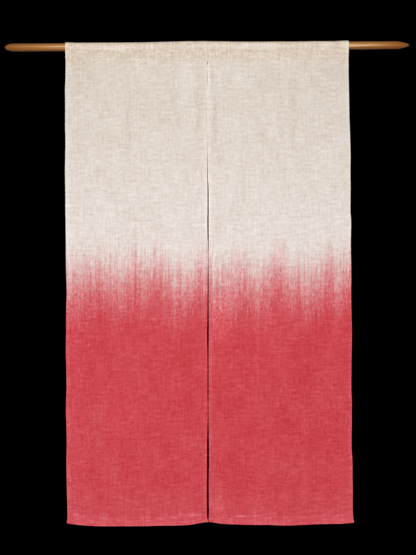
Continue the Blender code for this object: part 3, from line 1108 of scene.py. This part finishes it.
@dataclass(frozen=True)
class HungCloth:
    """Where each place on a panel's flat cloth comes to lie once it hangs on the rod."""

    side: Side
    cut: PanelCut
    rumple: Rumple = Rumple()
    rumples_begin: tuple[float, float] = (52.0, 110.0)
    step_width: float = 22.0
    crease_fades: float = 0.35
    sleeve_rumple: float = 0.35
    least_lift: float = 0.1
    lifted: tuple[float, float] = (-0.006, 0.013)

    def edges(self, down: Points) -> tuple[Points, Points]:
        """Where the panel's edges hang.

        Args:
            down: Levels below the rod's axis, in millimetres.

        Returns:
            The outer edge and the slit edge at each level, in millimetres.
        """
        slit = read(LEVELS, down, 3)
        half_gap = 0.5 * read(LEVELS, down, 4)
        if self.side is Side.LEFT:
            return read(LEVELS, down, 1), slit - half_gap
        return read(LEVELS, down, 2), slit + half_gap

    def across(self, share: Points, down: Points) -> Points:
        """Places across the curtain, in millimetres, for shares of the panel at their levels."""
        outer, slit = self.edges(down)
        return outer + share * (slit - outer)

    def forward(self, across: Points, down: Points) -> Points:
        """How far folds, creases and rumples bring the cloth forward, in millimetres.

        Args:
            across: Places across the curtain, in millimetres.
            down: Places below the rod's axis, in millimetres.

        Returns:
            One depth for each place.
        """
        total = self.rumple.at(across, down) * ease(down, *self.rumples_begin)
        for fold in FOLDS[self.side]:
            middle = fold.top + (fold.foot - fold.top) * down / HEM_LOWEST
            strength = ease(down, fold.begins, fold.deepest)
            strength = strength * (1.0 - ease(down, fold.deepest, fold.fades))
            total += fold.forward * strength * hump(across - middle, fold.half_width)
        for crease in CREASES[self.side]:
            total += self._crease(crease, across, down)
        from_slit = across - read(LEVELS, down, 3)
        half_step = 0.5 * read(LEVELS, down, 5) * hump(from_slit, self.step_width)
        return total + (half_step if self.side is Side.RIGHT else -half_step)

    def _crease(self, crease: Crease, across: Points, down: Points) -> Points:
        """How far one crease brings the cloth forward.

        Args:
            crease: The crease.
            across: Places across the curtain, in millimetres.
            down: Places below the rod's axis, in millimetres.

        Returns:
            One depth for each place, in millimetres.
        """
        run_across = crease.across_to - crease.across_from
        run_down = crease.down_to - crease.down_from
        length = math.hypot(run_across, run_down)
        past_across = across - crease.across_from
        past_down = down - crease.down_from
        along = (past_across * run_across + past_down * run_down) / length**2
        aside = (past_across * run_down - past_down * run_across) / length
        strength = ease(along, 0.0, self.crease_fades)
        strength = strength * (1.0 - ease(along, 1.0 - self.crease_fades, 1.0))
        return crease.forward * strength * hump(aside, crease.half_width)

    def thickness(self, share: Points, up: Points) -> Points:
        """The cloth's thickness, more where a hem is turned.

        Args:
            share: Places across the panel.
            up: Places up the cloth, in metres.

        Returns:
            One thickness for each place, in metres.
        """
        cut = self.cut
        side = cut.turned(cut.from_side(share), cut.side_hem)
        foot = cut.turned(up, cut.foot_hem)
        end = cut.turned(cut.whole_length - up, cut.end_hem)
        return cut.cloth + (cut.hem - cut.cloth) * np.maximum(side, foot) + cut.cloth * end

    def _pinch(self, share: Points, up: Points, thick: Points) -> Points:
        """How far each surface draws in: to a round nose at the edges, and at the stitches.

        Args:
            share: Places across the panel.
            up: Places up the cloth, in metres.
            thick: The cloth's thickness there.

        Returns:
            One depth for each place, in metres.
        """
        cut = self.cut
        half = 0.5 * thick
        from_side = cut.from_side(share)
        side = np.clip(1.0 - from_side / half, 0.0, 1.0)
        end = np.clip(1.0 - np.minimum(up, cut.whole_length - up) / half, 0.0, 1.0)
        nose = np.minimum(np.hypot(side, end), 1.0)
        round_edge = cut.nose_depth * half * (1.0 - np.sqrt(1.0 - nose**2))
        seams = (from_side - cut.side_stitch, up - cut.foot_stitch, up - cut.body_length)
        sewn = sum(hump(distance, reach) for distance, reach in zip(seams, cut.dent_reach))
        dented = round_edge + cut.stitch_dent * np.minimum(sewn, 1.0)
        return np.minimum(dented, cut.most_pinch * half)

    def _body(self, share: Points, up: Points) -> tuple[Points, Points]:
        """Hang the cloth below the seam.

        Args:
            share: Places across the panel.
            up: Places up the cloth, in metres, none above the seam.

        Returns:
            Where their faces come to lie, and the way in through the cloth.
        """
        seam = self.cut.seam_down / MM
        fall = 1.0 - up / self.cut.body_length
        foot = read(HEM_LINE, self.across(share, np.full_like(share, HEM_LOWEST)))
        down = seam + fall * (foot - seam)
        across = self.across(share, down)
        depth = -self.forward(across, down) - 0.5 * self.cut.cloth / MM
        inward = np.zeros((len(share), 3))
        inward[:, 1] = 1.0
        return np.stack([across, depth, -down], axis=1) * MM, inward

    def _sleeve(self, share: Points, up: Points) -> tuple[Points, Points]:
        """Lay the cloth above the seam up to the rod, over it, and down behind it.

        Args:
            share: Places across the panel.
            up: Places up the cloth, in metres, none below the seam.

        Returns:
            Where their outsides come to lie, and the way in through the cloth.
        """
        cut = self.cut
        from_side = cut.from_side(share)
        swell = cut.hem_swell * (1.0 - ease(from_side, cut.side_hem, cut.side_hem + cut.swell_fades))
        radius = cut.sleeve_radius + swell
        front_depth = -0.5 * cut.cloth
        at_seam = self.thickness(share, np.full_like(share, cut.body_length))
        at_end = self.thickness(share, np.full_like(share, cut.whole_length))
        end_depth = front_depth + at_seam + cut.layer_gap + at_end
        front_angle = math.atan2(-cut.seam_down, front_depth) + 2 * math.pi
        front_angle = front_angle - np.arccos(radius / math.hypot(cut.seam_down, front_depth))
        back_angle = np.arctan2(-cut.sleeve_end_down, end_depth)
        back_angle = back_angle + np.arccos(radius / np.hypot(cut.sleeve_end_down, end_depth))

        past = up - cut.body_length
        in_front = np.clip(past / cut.front_length, 0.0, 1.0)
        over = np.clip((past - cut.front_length) / cut.over_length, 0.0, 1.0)
        behind = np.clip((past - cut.front_length - cut.over_length) / cut.back_length, 0.0, 1.0)
        angle = front_angle + over * (back_angle - front_angle)
        depth = front_depth + in_front * (radius * np.cos(angle) - front_depth)
        height = -cut.seam_down + in_front * (radius * np.sin(angle) + cut.seam_down)
        depth = depth + behind * (end_depth - depth)
        height = height + behind * (-cut.sleeve_end_down - height)

        across = self.across(share, -height / MM)
        uneven = self.rumple.at(across, height / MM) * self.sleeve_rumple
        lift = (read(TOP_LIFT, across) + uneven + self.least_lift) * MM
        height = height + lift * ease(height, *self.lifted)
        inward = np.stack([np.zeros_like(angle), -np.cos(angle), -np.sin(angle)], axis=1)
        return np.stack([across * MM, depth, height], axis=1), inward

    def place(self, share: Points, up: Points, behind: Points) -> Points:
        """Where places on the flat cloth lie once it hangs.

        Args:
            share: Places across the panel.
            up: Places up the cloth, in metres.
            behind: 0 on the cloth's face, 1 on its back.

        Returns:
            One point for each place, in metres.
        """
        on_body = up <= self.cut.body_length
        body, body_inward = self._body(share, np.minimum(up, self.cut.body_length))
        sleeve, sleeve_inward = self._sleeve(share, np.maximum(up, self.cut.body_length))
        base = np.where(on_body[:, None], body, sleeve)
        inward = np.where(on_body[:, None], body_inward, sleeve_inward)
        thick = self.thickness(share, up)
        pinch = self._pinch(share, up, thick)
        inset = np.where(behind > 0.5, thick - pinch, pinch)
        return base + inward * inset[:, None]


@dataclass
class ClothPanel:
    """One length of the curtain: a hemmed sheet whose top is sewn into a sleeve."""

    side: Side
    cut: PanelCut
    finish: DyedLinen
    body_columns: int = 98
    body_rows: int = 262
    nose: tuple = (0.0, 0.00010, 0.00035, 0.00070, 0.00110)
    side_columns: tuple = (0.0024, 0.0048, 0.0070, 0.0084, 0.0093, 0.0102, 0.0108, 0.0114, 0.0130)
    foot_rows: tuple = (
        0.0024, 0.0055, 0.0095, 0.0140, 0.0185, 0.0230,
        0.0257, 0.0268, 0.0279, 0.0286, 0.0294, 0.0312,
    )
    seam_rows: tuple = (-0.0060, -0.0042, -0.0026, -0.0013, 0.0, 0.0013, 0.0026, 0.0045)
    front_rows: int = 8
    arc_rows: int = 26
    back_rows: int = 7
    end_rows: tuple = (0.0090, 0.0085, 0.0080, 0.0075, 0.0060, 0.0040, 0.0022)
    hung: HungCloth = field(init=False)

    def __post_init__(self) -> None:
        """Hang the cloth."""
        self.hung = HungCloth(self.side, self.cut)

    @property
    def name(self) -> str:
        """The panel's name, which its stitches go by as well."""
        return f"linen_{self.side.value}"

    def _columns(self) -> Points:
        """Space the cloth's columns, close together at its hems.

        Returns:
            Their places, as shares of its width.
        """
        near = np.array(self.nose + self.side_columns) / self.cut.width
        first = near[-1]
        between = np.linspace(first, 1.0 - first, self.body_columns + 1)[1:-1]
        return np.concatenate([near, between, 1.0 - near[::-1]])

    def _rows(self) -> Points:
        """Space the cloth's rows, close together at its hems, its seam and the rod.

        Returns:
            Their places, in metres up the cloth.
        """
        cut = self.cut
        sewn = cut.body_length + np.array(self.seam_rows)
        over = cut.body_length + cut.front_length
        behind = over + cut.over_length
        foot = np.array(self.nose + self.foot_rows)
        body = np.linspace(foot[-1], sewn[0], self.body_rows + 1)[1:-1]
        front = np.linspace(sewn[-1], over, self.front_rows + 1)[1:]
        arc = np.linspace(over, behind, self.arc_rows + 1)[1:]
        end = cut.whole_length - np.array(self.end_rows)
        back = np.linspace(behind, end[0], self.back_rows + 1)[1:-1]
        nose = cut.whole_length - np.array(self.nose[::-1])
        return np.concatenate([foot, body, sewn, front, arc, back, end, nose])

    def build(self) -> bpy.types.Object:
        """Make the panel: a flat grid, thickened by an extrusion, and hung.

        Returns:
            The panel's object.
        """
        columns, rows = self._columns(), self._rows()
        bm = bmesh.new()
        layers = {name: bm.verts.layers.float.new(name) for name in ("share", "up", "behind")}
        flat_map = bm.loops.layers.uv.new(FLAT_MAP)
        bmesh.ops.create_grid(bm, x_segments=len(columns) - 1, y_segments=len(rows) - 1, size=1.0)
        for index, vert in enumerate(bm.verts):
            row, column = divmod(index, len(columns))
            vert[layers["share"]] = columns[column]
            vert[layers["up"]] = rows[row]
        copied = bmesh.ops.extrude_face_region(bm, geom=bm.faces[:], use_keep_orig=True)
        for part in copied["geom"]:
            if isinstance(part, bmesh.types.BMVert):
                part[layers["behind"]] = 1.0

        share, up, behind = (np.array([vert[layer] for vert in bm.verts]) for layer in layers.values())
        for vert, place in zip(bm.verts, self.hung.place(share, up, behind)):
            vert.co = place
        bmesh.ops.recalc_face_normals(bm, faces=bm.faces[:])

        outer, slit = self.cut.flat_edges(self.side)
        for face in bm.faces:
            face.smooth = True
            for loop in face.loops:
                vert = loop.vert
                across = outer + vert[layers["share"]] * (slit - outer)
                loop[flat_map].uv = (across, vert[layers["up"]])
        for name in layers:
            bm.verts.layers.float.remove(bm.verts.layers.float[name])
        return new_piece(self.name, bm, self.finish.material(self.cut))


def new_piece(name: str, bm: bmesh.types.BMesh, material: bpy.types.Material) -> bpy.types.Object:
    """Turn a finished bmesh into an object at the origin.

    Args:
        name: The object's name.
        bm: Its mesh, which is freed.
        material: Its finish.

    Returns:
        The object, in the scene.
    """
    mesh = bpy.data.meshes.new(name)
    bm.to_mesh(mesh)
    bm.free()
    mesh.materials.append(material)
    piece = bpy.data.objects.new(name, mesh)
    bpy.context.scene.collection.objects.link(piece)
    return piece


# Sewing


@dataclass(frozen=True)
class SeamLine:
    """A line of stitches on a panel, on one surface of its cloth."""

    shares: tuple[float, float]
    ups: tuple[float, float]
    surface: Surface

    def length(self, cut: PanelCut) -> float:
        """The line's length on the flat cloth, in metres."""
        return math.hypot((self.shares[1] - self.shares[0]) * cut.width, self.ups[1] - self.ups[0])


@dataclass
class Stitches:
    """All the straight stitching of one panel: both side hems, the foot hem and the sleeve."""

    panel: ClothPanel
    thread: SewingThread
    pitch: float = 0.0036
    long: float = 0.0027
    thick: float = 0.00046
    rise: float = 0.00008
    lean: float = 0.05
    margin: float = 0.004
    below_seam: float = 0.002

    def lines(self) -> list[SeamLine]:
        """Find where the panel is sewn.

        Returns:
            The hems' lines on both surfaces of the cloth, then the sleeve's on its outside.
        """
        cut = self.panel.cut
        side = cut.side_stitch / cut.width
        hem = (cut.foot_stitch, cut.body_length - self.below_seam)
        found = []
        for surface in Surface:
            found += [SeamLine((share, share), hem, surface) for share in (side, 1.0 - side)]
            found.append(self._level(cut.foot_stitch, surface))
        sleeve = (cut.body_length, cut.whole_length - cut.end_stitch)
        return found + [self._level(up, Surface.FACE) for up in sleeve]

    def _level(self, up: float, surface: Surface) -> SeamLine:
        """A line of stitches from one side edge nearly to the other."""
        return SeamLine((self.margin, 1.0 - self.margin), (up, up), surface)

    def build(self) -> bpy.types.Object:
        """Make all the stitches as one piece.

        Returns:
            The stitches' object.
        """
        places = [place for line in self.lines() for place in self._sew(line)]
        return sewing(f"{self.panel.name}_stitches", one_stitch(self.long, self.thick), places, self.thread)

    def _sew(self, line: SeamLine) -> list[Matrix]:
        """Where the stitches of one line lie.

        Args:
            line: The line.

        Returns:
            One place for each stitch.
        """
        count = max(int(line.length(self.panel.cut) / self.pitch), 1)
        spots = (np.arange(count) + 0.5) / count
        share = line.shares[0] + spots * (line.shares[1] - line.shares[0])
        up = line.ups[0] + spots * (line.ups[1] - line.ups[0])
        chance = np.random.default_rng(count)
        proud = Matrix.Translation((0.0, 0.0, self.rise))
        turns = [Matrix.Rotation(turn, 4, "Z") for turn in chance.normal(0.0, self.lean, count)]
        frames = frames_on(self.panel.hung, share, up, line)
        return [place @ proud @ turn for place, turn in zip(frames, turns)]


def one_stitch(long: float, thick: float) -> bpy.types.Mesh:
    """One stitch: a short length of thread whose ends go down into the cloth.

    Args:
        long: Its length along X.
        thick: Its thickness.

    Returns:
        Its mesh, of a few dozen faces.
    """
    bm = bmesh.new()
    bmesh.ops.create_circle(bm, segments=6, radius=0.5 * thick, cap_ends=True)
    stations = [
        # along, width, height: shares of the length and the thickness
        (-0.5, 0.55, -0.5),
        (-0.36, 0.95, 0.0),
        (0.0, 1.0, 0.12),
        (0.36, 0.95, 0.0),
        (0.5, 0.55, -0.5),
    ]
    bm.faces.ensure_lookup_table()
    face = bm.faces[0]
    rings = [list(face.verts)]
    for _ in stations[1:]:
        made = bmesh.ops.extrude_face_region(bm, geom=[face, *face.edges], use_keep_orig=len(rings) == 1)
        face = next(part for part in made["geom"] if isinstance(part, bmesh.types.BMFace))
        rings.append(list(face.verts))
    for ring, (along, width, height) in zip(rings, stations):
        for vert in ring:
            vert.co = (along * long, vert.co.x * width, vert.co.y * width + height * thick)
    bmesh.ops.recalc_face_normals(bm, faces=bm.faces[:])
    mesh = bpy.data.meshes.new("one_stitch")
    bm.to_mesh(mesh)
    bm.free()
    return mesh


def sewing(
    name: str, bead: bpy.types.Mesh, places: list[Matrix], thread: SewingThread
) -> bpy.types.Object:
    """Lay a stitch at many places, as one piece.

    Args:
        name: The piece's name.
        bead: One stitch along X, with Z away from the cloth. It is used up.
        places: Where the stitches go.
        thread: Their finish.

    Returns:
        The piece.
    """
    shape = np.array([(*vert.co, 1.0) for vert in bead.vertices])
    laid = np.concatenate([shape @ np.array(place).T for place in places])
    bm = bmesh.new()
    for _ in places:
        bm.from_mesh(bead)
    for vert, point in zip(bm.verts, laid):
        vert.co = point[:3]
    for face in bm.faces:
        face.smooth = True
    bpy.data.meshes.remove(bead)
    return new_piece(name, bm, thread.material())


def frames_on(hung: HungCloth, share: Points, up: Points, line: SeamLine) -> list[Matrix]:
    """Frames on a cloth's surface, with X along a line of stitches and Z out of the cloth.

    Args:
        hung: The cloth.
        share: Places across the panel.
        up: Places up the cloth.
        line: The line that they are on.

    Returns:
        One matrix for each place.
    """
    behind = np.full_like(share, 1.0 if line.surface is Surface.BACK else 0.0)
    reach = 0.0008
    aside = reach if hung.side is Side.LEFT else -reach
    middle = hung.place(share, up, behind)
    sideways = hung.place(share + aside, up, behind) - hung.place(share - aside, up, behind)
    upward = hung.place(share, up + reach, behind) - hung.place(share, up - reach, behind)
    out = np.cross(sideways, upward)
    if line.surface is Surface.BACK:
        out = -out
    along = sideways if line.ups[0] == line.ups[1] else upward
    frames = []
    for point, x_way, z_way in zip(middle, along, out):
        x_axis = Vector(x_way).normalized()
        z_axis = Vector(z_way).normalized()
        y_axis = z_axis.cross(x_axis).normalized()
        turned = Matrix((x_axis, y_axis, x_axis.cross(y_axis))).transposed().to_4x4()
        frames.append(Matrix.Translation(point) @ turned)
    return frames


@dataclass
class CentreSeam:
    """The slip stitches that join the two panels at the heading, from front to back."""

    left: ClothPanel
    right: ClothPanel
    thread: SewingThread
    pitch: float = 0.0042
    long: float = 0.0034
    thick: float = 0.00042
    from_edge: float = 0.0016
    above_seam: float = 0.003
    short_of_end: float = 0.004

    def build(self) -> bpy.types.Object:
        """Make the seam's stitches, each laid across both slit edges.

        Returns:
            Their object.
        """
        cut = self.left.cut
        end = cut.whole_length - self.short_of_end
        ups = np.arange(cut.body_length + self.above_seam, end, self.pitch)
        at_edge = np.full_like(ups, 1.0 - self.from_edge / cut.width)
        line = SeamLine((0.0, 1.0), (0.0, 0.0), Surface.FACE)
        lefts = frames_on(self.left.hung, at_edge, ups, line)
        rights = frames_on(self.right.hung, at_edge, ups, line)
        for one, other in zip(lefts, rights):
            one.translation = 0.5 * (one.translation + other.translation)
        return sewing("centre_seam", one_stitch(self.long, self.thick), lefts, self.thread)


@dataclass
class BarTack:
    """The close bar of thread that keeps the slit from tearing further up."""

    panel: ClothPanel
    thread: SewingThread
    across: float = 0.0005
    down: tuple[float, float] = (0.0465, 0.0555)
    wraps: int = 11
    long: float = 0.0031
    thick: float = 0.00085
    proud: float = 0.0003
    uneven: float = 0.0001
    lean: float = 0.07
    seed: int = 3

    def build(self) -> bpy.types.Object:
        """Make the bar, one wrap of thread under another.

        Returns:
            The bar's object.
        """
        chance = np.random.default_rng(self.seed)
        facing = Matrix.Rotation(math.radians(90.0), 4, "X")
        depth = -0.5 * self.panel.cut.cloth - self.proud
        places = []
        for level in np.linspace(*self.down, self.wraps):
            across = self.across + chance.normal(0.0, self.uneven)
            spot = Matrix.Translation((across, depth, -level))
            places.append(spot @ facing @ Matrix.Rotation(chance.normal(0.0, self.lean), 4, "Z"))
        return sewing("bar_tack", one_stitch(self.long, self.thick), places, self.thread)


# The rod


@dataclass
class TurnedRod:
    """The wooden rod, turned and then whittled at both ends."""

    length: float = 1.256
    radius: float = 0.0120
    sides: int = 56
    straight_rings: int = 64
    tip_rings: int = 18
    waviness: float = 0.00010
    waves: tuple[float, float] = (31.0, 53.0)
    tip_crowding: float = 1.6
    facets: tuple[int, int] = (9, 11)
    knife_depth: float = 0.5
    knife_reach: tuple[float, float] = (0.004, 0.034)
    knife_start: float = 0.003
    knife_twist: float = 0.35

    def _profile(self) -> list[tuple[float, float]]:
        """Draw the rod's half outline from its left tip to its right one.

        Returns:
            Its points: along the rod, and out from its axis.
        """
        half = 0.5 * self.length
        crowded = np.linspace(0.0, 1.0, self.tip_rings) ** self.tip_crowding
        left = LEFT_TIP[-1][0] * crowded
        right = RIGHT_TIP[-1][0] * crowded[::-1]
        between = np.linspace(left[-1] * MM - half, half - right[0] * MM, self.straight_rings)[1:-1]
        along = np.concatenate([left * MM - half, between, half - right * MM])
        shares = np.concatenate([read(LEFT_TIP, left), np.ones_like(between), read(RIGHT_TIP, right)])
        slow, quick = self.waves
        uneven = self.waviness * (np.sin(along * slow) + np.sin(along * quick + 1.0))
        radii = (self.radius - self.waviness * 2.0 + uneven) * shares
        return [(along[0], 0.0), *zip(along, radii), (along[-1], 0.0)]

    def build(self) -> bpy.types.Object:
        """Make the rod by spinning its outline, then cut a few knife facets at its tips.

        Returns:
            The rod's object.
        """
        bm = bmesh.new()
        points = [bm.verts.new((along, 0.0, radius)) for along, radius in self._profile()]
        edges = [bm.edges.new(pair) for pair in zip(points, points[1:])]
        around = {"cent": (0, 0, 0), "axis": (1, 0, 0), "angle": 2 * math.pi, "steps": self.sides}
        bmesh.ops.spin(bm, geom=points + edges, use_merge=True, **around)
        bmesh.ops.remove_doubles(bm, verts=bm.verts[:], dist=1e-6)
        for vert in bm.verts:
            self._whittle(vert)
        bmesh.ops.recalc_face_normals(bm, faces=bm.faces[:])
        for face in bm.faces:
            face.smooth = True
        return new_piece("turned_rod", bm, HoneyWood(0.5 * self.length).material())

    def _whittle(self, vert: bmesh.types.BMVert) -> None:
        """Flatten a point near a tip to the knife's nearest facet.

        Args:
            vert: The point.
        """
        from_tip = 0.5 * self.length - abs(vert.co.x)
        strength = self.knife_depth * (1.0 - float(ease(from_tip, *self.knife_reach)))
        strength *= min(from_tip / self.knife_start, 1.0)
        width = 2 * math.pi / self.facets[0 if vert.co.x < 0.0 else 1]
        angle = math.atan2(vert.co.z, vert.co.y) + self.knife_twist * math.sin(vert.co.x * 160.0)
        turn = angle % width - 0.5 * width
        keep = 1.0 + strength * (math.cos(0.5 * width) / math.cos(turn) - 1.0)
        vert.co.y *= keep
        vert.co.z *= keep


# The studio


@dataclass(frozen=True)
class SoftLight:
    """A soft square lamp that the camera doesn't see."""

    name: str
    place: tuple[float, float, float]
    aim: tuple[float, float, float]
    size: tuple[float, float]
    watts: float
    colour: tuple[float, float, float] = (1.0, 1.0, 1.0)

    def build(self) -> None:
        """Set up the lamp."""
        lamp = bpy.data.lights.new(self.name, "AREA")
        lamp.shape = "RECTANGLE"
        lamp.size, lamp.size_y = self.size
        lamp.energy = self.watts
        lamp.color = self.colour
        holder = bpy.data.objects.new(self.name, lamp)
        holder.location = self.place
        way = Vector(self.aim) - Vector(self.place)
        holder.rotation_euler = way.to_track_quat("-Z", "Y").to_euler()
        holder.visible_camera = False
        bpy.context.scene.collection.objects.link(holder)


@dataclass
class Studio:
    """The camera, the lamps, a pale round floor, and a dark room."""

    lens: float = 85.0
    sensor: float = 36.0
    camera_place: tuple[float, float, float] = (-0.0015, -4.07, -0.718)
    camera_roll: float = 0.00615
    room_glow: float = 0.25
    floor_level: float = -1.960
    floor_radius: float = 1.550
    floor_thick: float = 0.03
    floor_rim: float = 0.012
    middle: tuple[float, float, float] = (0.0, 0.0, -0.72)

    def lights(self) -> list[SoftLight]:
        """Choose the lamps.

        Returns:
            A key above the camera, a fill below it, and two behind the curtain.
        """
        low = (0.0, 0.0, -0.95)
        return [
            SoftLight("key", (-0.25, -3.35, 0.95), self.middle, (2.2, 1.8), 108.5),
            SoftLight("fill", (0.30, -3.40, -1.55), low, (2.6, 0.9), 29.0),
            SoftLight("back_left", (-2.4, 2.5, 0.4), self.middle, (1.6, 1.6), 52.0),
            SoftLight("back_right", (2.4, 2.5, 0.4), self.middle, (1.6, 1.6), 52.0),
        ]

    def build(self) -> None:
        """Set up everything that isn't part of the curtain."""
        self._camera()
        for light in self.lights():
            light.build()
        self._floor()
        self._room()
        bpy.context.scene.view_settings.view_transform = "Standard"

    def _camera(self) -> None:
        """Put the camera level with the curtain's middle, at its front."""
        data = bpy.data.cameras.new("camera")
        data.lens = self.lens
        data.sensor_width = self.sensor
        camera = bpy.data.objects.new("camera", data)
        camera.location = self.camera_place
        camera.rotation_euler = (math.radians(90.0), self.camera_roll, 0.0)
        bpy.context.scene.collection.objects.link(camera)
        bpy.context.scene.camera = camera

    def _floor(self) -> None:
        """Lay the floor well below the curtain, as a thin disc with a soft edge."""
        bm = bmesh.new()
        bmesh.ops.create_circle(bm, segments=128, radius=self.floor_radius, cap_ends=True)
        made = bmesh.ops.extrude_face_region(bm, geom=bm.faces[:])
        top = [part for part in made["geom"] if isinstance(part, bmesh.types.BMVert)]
        bmesh.ops.translate(bm, verts=top, vec=(0.0, 0.0, self.floor_thick))
        rim = {edge for vert in top for edge in vert.link_edges if all(end in top for end in edge.verts)}
        rounding = {"affect": "EDGES", "segments": 3, "profile": 0.5, "material": -1}
        bmesh.ops.bevel(bm, geom=list(rim), offset=self.floor_rim, **rounding)
        bmesh.ops.translate(bm, verts=bm.verts[:], vec=(0.0, 0.0, self.floor_level - self.floor_thick))
        bmesh.ops.recalc_face_normals(bm, faces=bm.faces[:])
        new_piece("floor", bm, PaleFloor().material())

    def _room(self) -> None:
        """Make the room dark to look at, with a little light from all round."""
        world = bpy.data.worlds.new("room")
        world.use_nodes = True
        tree = world.node_tree
        tree.nodes.clear()
        glow = tree.nodes.new("ShaderNodeBackground")
        glow.inputs["Strength"].default_value = self.room_glow
        dark = tree.nodes.new("ShaderNodeBackground")
        dark.inputs["Color"].default_value = (0.0, 0.0, 0.0, 1.0)
        path = tree.nodes.new("ShaderNodeLightPath")
        mix = tree.nodes.new("ShaderNodeMixShader")
        result = tree.nodes.new("ShaderNodeOutputWorld")
        tree.links.new(path.outputs["Is Camera Ray"], mix.inputs[0])
        tree.links.new(glow.outputs[0], mix.inputs[1])
        tree.links.new(dark.outputs[0], mix.inputs[2])
        tree.links.new(mix.outputs[0], result.inputs["Surface"])
        bpy.context.scene.world = world


# The whole curtain


def dress(piece: bpy.types.Object, replaced: str | None = None) -> None:
    """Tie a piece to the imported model.

    Args:
        piece: The piece.
        replaced: The CAD node that it stands for, if any.
    """
    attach(piece, "root")
    if replaced:
        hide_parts(replaced)
    log.info("%s: %d faces", piece.name, len(piece.data.polygons))


def main() -> None:
    """Build the rod, the two panels and their sewing, then the studio round them."""
    logging.basicConfig(level=logging.INFO, format="%(name)s: %(message)s")
    dress(TurnedRod().build(), "rod")

    cut = PanelCut()
    panels = {}
    for side, bleed in ((Side.LEFT, LEFT_BLEED), (Side.RIGHT, RIGHT_BLEED)):
        panel = ClothPanel(side, cut, DyedLinen(side, bleed))
        slot = f"panel_{side.value}"
        cloth = panel.build()
        dress(cloth, slot)
        stitches = Stitches(panel, SewingThread(f"dyed_thread_{side.value}")).build()
        dress(stitches)
        panels[side] = panel

    seam = CentreSeam(panels[Side.LEFT], panels[Side.RIGHT], SewingThread("joining_thread"))
    dress(seam.build())
    brown = SewingThread("tack_thread", colour=(0.36, 0.235, 0.15))
    dress(BarTack(panels[Side.LEFT], brown).build())

    Studio().build()


if __name__ == "__main__":
    main()
